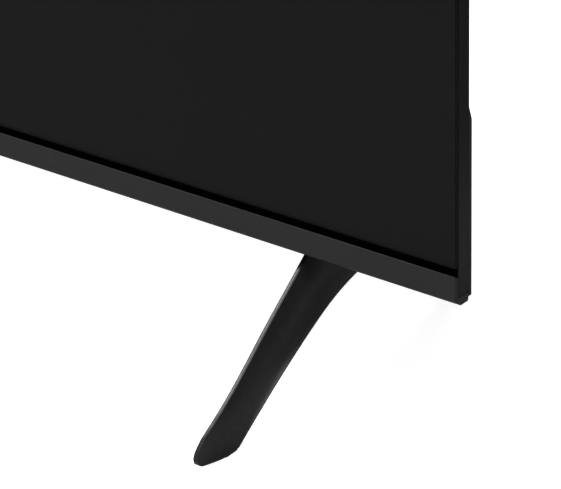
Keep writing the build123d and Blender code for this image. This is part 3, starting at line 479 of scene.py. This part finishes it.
def grown(name, tree, places, material, slot, **values):
    """Plain mesh that a tree grows on a list of points, riding with the set."""
    seeds = bpy.data.meshes.new(name + "_places")
    seeds.from_pydata([tuple(place) for place in places], [], [])
    piece = bpy.data.objects.new(name, seeds)
    bpy.context.scene.collection.objects.link(piece)
    grower = piece.modifiers.new("grower", "NODES")
    grower.node_group = tree
    values["Finish"] = material
    for socket in tree.interface.items_tree:
        key = socket.name.replace(" ", "_")
        if key in values:
            grower[socket.identifier] = values[key]
    bpy.context.view_layer.update()
    finished = piece.evaluated_get(bpy.context.evaluated_depsgraph_get())
    grown_mesh = bpy.data.meshes.new_from_object(finished)
    piece.modifiers.remove(grower)
    piece.data = grown_mesh
    grown_mesh.name = name
    bpy.data.meshes.remove(seeds)
    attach(piece, "set")
    return piece


def row(middle, count, pitch):
    """Points in a row up the set, about a middle."""
    return [middle + Vector((0, 0, pitch * (i - (count - 1) / 2))) for i in range(count)]


def block_sizes(size):
    """A block's three sizes as the tree's inputs."""
    return {"Length": size[0], "Height": size[1], "Width": size[2]}


blocks = block_tree()
video_places, video_contacts = [], []
for low, high in loose_parts("hdmi_sockets"):
    middle = (low + high) / 2
    middle.x = low.x + socket_mouth_setback + video_tongue[0] / 2
    video_places.append(middle)
    to_mouth = (video_contact[0] - video_tongue[0]) / 2
    for side in (-1, 1):
        face = middle + Vector((to_mouth, side * video_tongue[1] / 2, 0))
        video_contacts += row(face, video_contact_count, video_contact_pitch)
data_places, data_contacts = [], []
for low, high in loose_parts("usb_sockets"):
    middle = (low + high) / 2 + Vector((0, data_tongue_shift, 0))
    middle.x = low.x + socket_mouth_setback + data_tongue[0] / 2
    data_places.append(middle)
    face = middle + Vector(((data_contact[0] - data_tongue[0]) / 2, -data_tongue[1] / 2, 0))
    data_contacts += row(face, data_contact_count, data_contact_pitch)
network_low, network_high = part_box("lan_socket")
network_middle = (network_low + network_high) / 2
network_middle.x = network_low.x + socket_mouth_setback + network_wire[0] / 2
network_middle.y = network_low.y + network_wire_height
network_wires = row(network_middle, network_wire_count, network_wire_pitch)
for name, places, size, material, slot in (
    ("video_tongues", video_places, video_tongue, socket_moulding, "socket_black"),
    ("video_contacts", video_contacts, video_contact, brass_pin, "brass"),
    ("data_tongues", data_places, data_tongue, socket_moulding, "socket_black"),
    ("data_contacts", data_contacts, data_contact, brass_pin, "brass"),
    ("network_wires", network_wires, network_wire, brass_pin, "brass"),
):
    grown(name, blocks, places, material, slot, **block_sizes(size))

# Speakers: a closed box of black plastic at each end, with a racetrack driver of coated paper
# that faces down through the cover's grille.
speaker_paper = finish(
    "speaker_paper", light=(0.032, 0.032, 0.033), dark=(0.022, 0.022, 0.022),
    rough=(0.6, 0.75), relief=0.0001, grain=600.0,
)
dress(inner_plastic, "speaker_box_left", "speaker_box_right")
dress(speaker_paper, "speaker_driver_left", "speaker_driver_right")

# The bezel is a long satin moulding under the picture, with a pod for the sensor and the
# power button at the middle of its underside. Thin black trims run up the sides and over the top.
bezel_satin = finish(
    "bezel_satin", light=(0.0246, 0.0246, 0.0251), dark=(0.0228, 0.0228, 0.0233),
    rough=(0.42, 0.46), relief=0.000006, drift=9.0, grain=2600.0, Specular_IOR_Level=0.04,
)
trim_satin = finish(
    "trim_satin", light=(0.003, 0.003, 0.0032), dark=(0.0024, 0.0024, 0.0026),
    rough=(0.26, 0.3), relief=0.000005, drift=9.0, grain=2600.0, Specular_IOR_Level=0.043,
)
dark_window = finish(
    "dark_window", light=(0.02, 0.003, 0.005), dark=(0.016, 0.002, 0.004),
    rough=(0.08, 0.12), relief=0.000002,
)
button_black = finish(
    "button_black", light=(0.02, 0.02, 0.02), dark=(0.016, 0.016, 0.016),
    rough=(0.28, 0.34), relief=0.000005,
)
dress(bezel_satin, "front_bezel", "sensor_housing")
dress(trim_satin, "side_trim_left", "side_trim_right", "top_trim")
dress(dark_window, "sensor_lens")
dress(button_black, "power_button")

# The rear cover is one large moulding of black plastic with a spark-eroded grain. Screws that
# are sunk in its rear wall pull it on to the tray through tubes moulded inside it.
cover_grain = finish(
    "cover_grain", light=(0.013, 0.013, 0.0135), dark=(0.01, 0.01, 0.0105),
    rough=(0.5, 0.6), relief=0.00006, drift=7.0, grain=1100.0, Specular_IOR_Level=0.1,
)
black_zinc = finish(
    "black_zinc", light=(0.05, 0.05, 0.05), dark=(0.035, 0.035, 0.035),
    rough=(0.3, 0.42), relief=0.00001, Metallic=0.6,
)
dress(cover_grain, "rear_cover")

# The screws are cold headed in steel with a tapered pan head and a cross recess, and zinc
# plated black. Each stops at its own angle when it is driven home.
screw_sizes = {
    "Head_Radius": 0.0036, "Head_Height": 0.002, "Rim_Radius": 0.0029,
    "Shank_Radius": 0.0015, "Length": 0.011,
    "Recess_Reach": 0.0044, "Recess_Width": 0.0009, "Recess_Depth": 0.0012,
}
screw_sides = 24


def screw_tree():
    """Screws on a set of points, heads to the rear, each turned at random."""
    tree, given = start_tree("screws", [label.replace("_", " ") for label in screw_sizes])
    nodes, links = tree.nodes, tree.links

    def number(operation, first, second):
        """Arithmetic on two values, each a named input, a socket or a number."""
        result = nodes.new("ShaderNodeMath")
        result.operation = operation
        for value, socket in ((first, result.inputs[0]), (second, result.inputs[1])):
            if isinstance(value, str):
                links.new(given.outputs[value], socket)
            elif isinstance(value, bpy.types.NodeSocket):
                links.new(value, socket)
            else:
                socket.default_value = value
        return result.outputs[0]

    def vector(x=None, y=None, z=None):
        """Size or offset from named inputs or sockets."""
        joined = nodes.new("ShaderNodeCombineXYZ")
        for value, socket in zip((x, y, z), joined.inputs):
            if isinstance(value, str):
                links.new(given.outputs[value], socket)
            elif value is not None:
                links.new(value, socket)
        return joined.outputs["Vector"]

    def moved(mesh, offset):
        """Mesh shifted by an offset."""
        move = nodes.new("GeometryNodeTransform")
        links.new(mesh, move.inputs["Geometry"])
        links.new(offset, move.inputs["Translation"])
        return move.outputs["Geometry"]

    head = nodes.new("GeometryNodeMeshCone")
    head.inputs["Vertices"].default_value = screw_sides
    links.new(given.outputs["Rim Radius"], head.inputs["Radius Top"])
    links.new(given.outputs["Head Radius"], head.inputs["Radius Bottom"])
    links.new(given.outputs["Head Height"], head.inputs["Depth"])
    head_low = number("MULTIPLY", "Head Height", -1.0)
    recessed = nodes.new("GeometryNodeMeshBoolean")
    recessed.operation = "DIFFERENCE"
    recessed.solver = "EXACT"
    links.new(moved(head.outputs["Mesh"], vector(z=head_low)), recessed.inputs["Mesh 1"])
    depth = number("MULTIPLY", "Recess Depth", 2.0)
    for width, height in (("Recess Reach", "Recess Width"), ("Recess Width", "Recess Reach")):
        slot_block = nodes.new("GeometryNodeMeshCube")
        links.new(vector(width, height, depth), slot_block.inputs["Size"])
        links.new(slot_block.outputs["Mesh"], recessed.inputs["Mesh 2"])

    shank = nodes.new("GeometryNodeMeshCylinder")
    shank.inputs["Vertices"].default_value = screw_sides
    shank_length = number("SUBTRACT", "Length", "Head Height")
    links.new(given.outputs["Shank Radius"], shank.inputs["Radius"])
    links.new(shank_length, shank.inputs["Depth"])
    shank_middle = number("MULTIPLY", number("ADD", "Length", "Head Height"), -0.5)
    screw = nodes.new("GeometryNodeJoinGeometry")
    links.new(recessed.outputs["Mesh"], screw.inputs["Geometry"])
    links.new(moved(shank.outputs["Mesh"], vector(z=shank_middle)), screw.inputs["Geometry"])

    laid_back = -math.pi / 2
    turn = nodes.new("FunctionNodeRandomValue")
    turn.data_type = "FLOAT_VECTOR"
    turn.inputs["Min"].default_value = (laid_back, 0, 0)
    turn.inputs["Max"].default_value = (laid_back, 2 * math.pi, 0)
    links.new(given.outputs["Seed"], turn.inputs["Seed"])
    as_rotation = nodes.new("FunctionNodeEulerToRotation")
    links.new(turn.outputs["Value"], as_rotation.inputs["Euler"])
    return end_tree(tree, given, screw.outputs["Geometry"], as_rotation.outputs["Rotation"])


screws = screw_tree()
for seed, name, node in (
    (1, "cover_screw_set", "cover_screws"),
    (2, "foot_screw_set", "foot_screws"),
):
    head_tops = [
        Vector(((low.x + high.x) / 2, high.y, (low.z + high.z) / 2))
        for low, high in loose_parts(node)
    ]
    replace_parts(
        grown(name, screws, head_tops, black_zinc, "screw_black", Seed=seed, **screw_sizes), node
    )

# Each foot is an arched blade moulded in satin black, pushed up into the cover and screwed
# from behind. Two rubber pads are let into its sole.
foot_satin = finish(
    "foot_satin", light=(0.02, 0.02, 0.0205), dark=(0.0165, 0.0165, 0.017),
    rough=(0.26, 0.29), relief=0.000008, drift=20.0, grain=1800.0, Specular_IOR_Level=0.085,
)
pad_rubber = finish(
    "pad_rubber", light=(0.03, 0.03, 0.03), dark=(0.022, 0.022, 0.022),
    rough=(0.75, 0.85), relief=0.00004, grain=900.0,
)
dress(foot_satin, "foot_left", "foot_right")
dress(pad_rubber, "foot_pads_left", "foot_pads_right")
